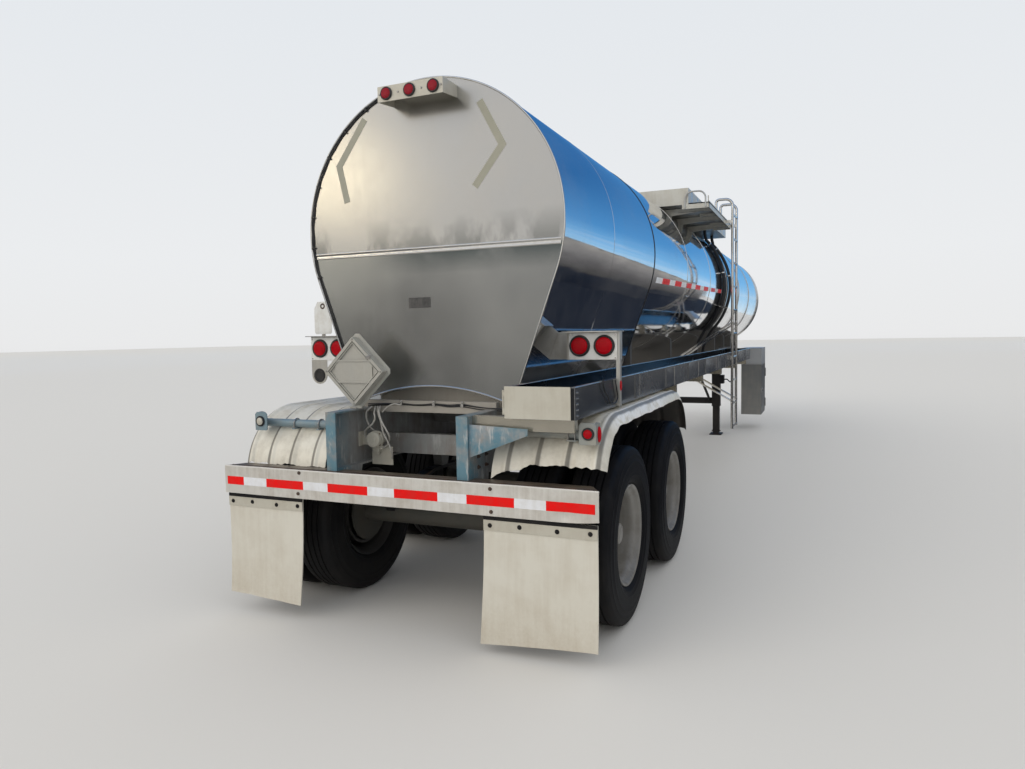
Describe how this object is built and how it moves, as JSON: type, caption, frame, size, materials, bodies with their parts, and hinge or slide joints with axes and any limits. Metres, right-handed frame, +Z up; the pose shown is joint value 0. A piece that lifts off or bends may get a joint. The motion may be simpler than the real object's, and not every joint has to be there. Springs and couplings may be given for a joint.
{
  "type": "tanker semi-trailer",
  "caption": "Two-axle road tanker semi-trailer: round insulated barrel, twin wheels, landing legs, hose tray, ladder, locker, manway and coupler plate.",
  "frame": {"origin": "on the ground, under the middle of the trailer's length and width", "axes": "+Y forwards to the kingpin end, +X to the trailer's right side, +Z up"},
  "size_m": [2.438, 13.1, 3.4667],
  "materials": {
    "black_rubber": "black hose and wire",
    "black_steel": "black paint, dusty",
    "brushed_stainless": "brushed stainless steel, weathered",
    "dull_aluminium": "dull, scratched aluminium",
    "flap_white": "off-white flap, dirty",
    "galvanised": "galvanised and pale paint, weathered",
    "grey_panel": "grey paint",
    "mirror_stainless": "mirror polished stainless steel sheet",
    "placard_aluminium": "plain aluminium",
    "red_lens": "red lens",
    "tyre_rubber": "worn black rubber",
    "white_rim": "white paint, dusty"
  },
  "bodies": {
    "trailer": {"air_reservoir": "black_steel", "axle_front": "black_steel", "axle_rear": "black_steel", "coupler": "black_steel", "drain_hose_front": "black_rubber", "drain_hose_rear": "black_rubber", "fender_arm_left": "galvanised", "fender_arm_right": "galvanised", "fender_left": "dull_aluminium", "fender_right": "dull_aluminium", "flap_bar_left": "dull_aluminium", "flap_bar_right": "dull_aluminium", "frame": "galvanised", "head_wire": "black_rubber", "hose_tray": "brushed_stainless", "ladder": "mirror_stainless", "lamp_box_left": "dull_aluminium", "lamp_box_right": "dull_aluminium", "landing_brace": "black_steel", "landing_leg_left": "black_steel", "landing_leg_right": "black_steel", "locker": "grey_panel", "manway_collar": "brushed_stainless", "mud_flap_left": "flap_white", "mud_flap_right": "flap_white", "outlet_valve": "brushed_stainless", "placard_holder": "placard_aluminium", "rear_guard": "dull_aluminium", "rear_head": "brushed_stainless", "relay_valve": "dull_aluminium", "relief_valve": "dull_aluminium", "roof_lamp_bar": "dull_aluminium", "skirt_jacket": "mirror_stainless", "spill_dam": "dull_aluminium", "springs_left": "black_steel", "springs_right": "black_steel", "tail_lamp_left_inner": "red_lens", "tail_lamp_left_outer": "red_lens", "tail_lamp_right_inner": "red_lens", "tail_lamp_right_outer": "red_lens", "tank_jacket": "mirror_stainless", "tray_end_front": "dull_aluminium", "tray_end_rear": "dull_aluminium", "tray_wall_inner": "brushed_stainless", "tray_wall_outer": "brushed_stainless", "walkway": "dull_aluminium"},
    "wheels_rear_left": {"wheel_rear_left": "white_rim", "tyre_rear_left_outer": "tyre_rubber", "tyre_rear_left_inner": "tyre_rubber"},
    "wheels_rear_right": {"wheel_rear_right": "white_rim", "tyre_rear_right_outer": "tyre_rubber", "tyre_rear_right_inner": "tyre_rubber"},
    "wheels_front_left": {"wheel_front_left": "white_rim", "tyre_front_left_outer": "tyre_rubber", "tyre_front_left_inner": "tyre_rubber"},
    "wheels_front_right": {"wheel_front_right": "white_rim", "tyre_front_right_outer": "tyre_rubber", "tyre_front_right_inner": "tyre_rubber"},
    "locker_door": {"locker_door": "grey_panel"},
    "manway_lid": {"manway_lid": "brushed_stainless"}
  },
  "joints": [
    {"name": "roll_rear_left", "type": "hinge", "parent": "trailer", "child": "wheels_rear_left", "pos_m": [0, -5.826, 0.526], "axis": [1, 0, 0], "continuous": true},
    {"name": "roll_rear_right", "type": "hinge", "parent": "trailer", "child": "wheels_rear_right", "pos_m": [0, -5.826, 0.526], "axis": [1, 0, 0], "continuous": true},
    {"name": "roll_front_left", "type": "hinge", "parent": "trailer", "child": "wheels_front_left", "pos_m": [0, -4.517, 0.526], "axis": [1, 0, 0], "continuous": true},
    {"name": "roll_front_right", "type": "hinge", "parent": "trailer", "child": "wheels_front_right", "pos_m": [0, -4.517, 0.526], "axis": [1, 0, 0], "continuous": true},
    {"name": "locker_door_hinge", "type": "hinge", "parent": "trailer", "child": "locker_door", "pos_m": [1.204, 4.1075, 0.705], "axis": [0, 0, 1], "range_deg": [0, 110]},
    {"name": "manway_lid_hinge", "type": "hinge", "parent": "trailer", "child": "manway_lid", "pos_m": [-0.345, -0.5, 3.385], "axis": [0, -1, 0], "range_deg": [0, 110]}
  ]
}
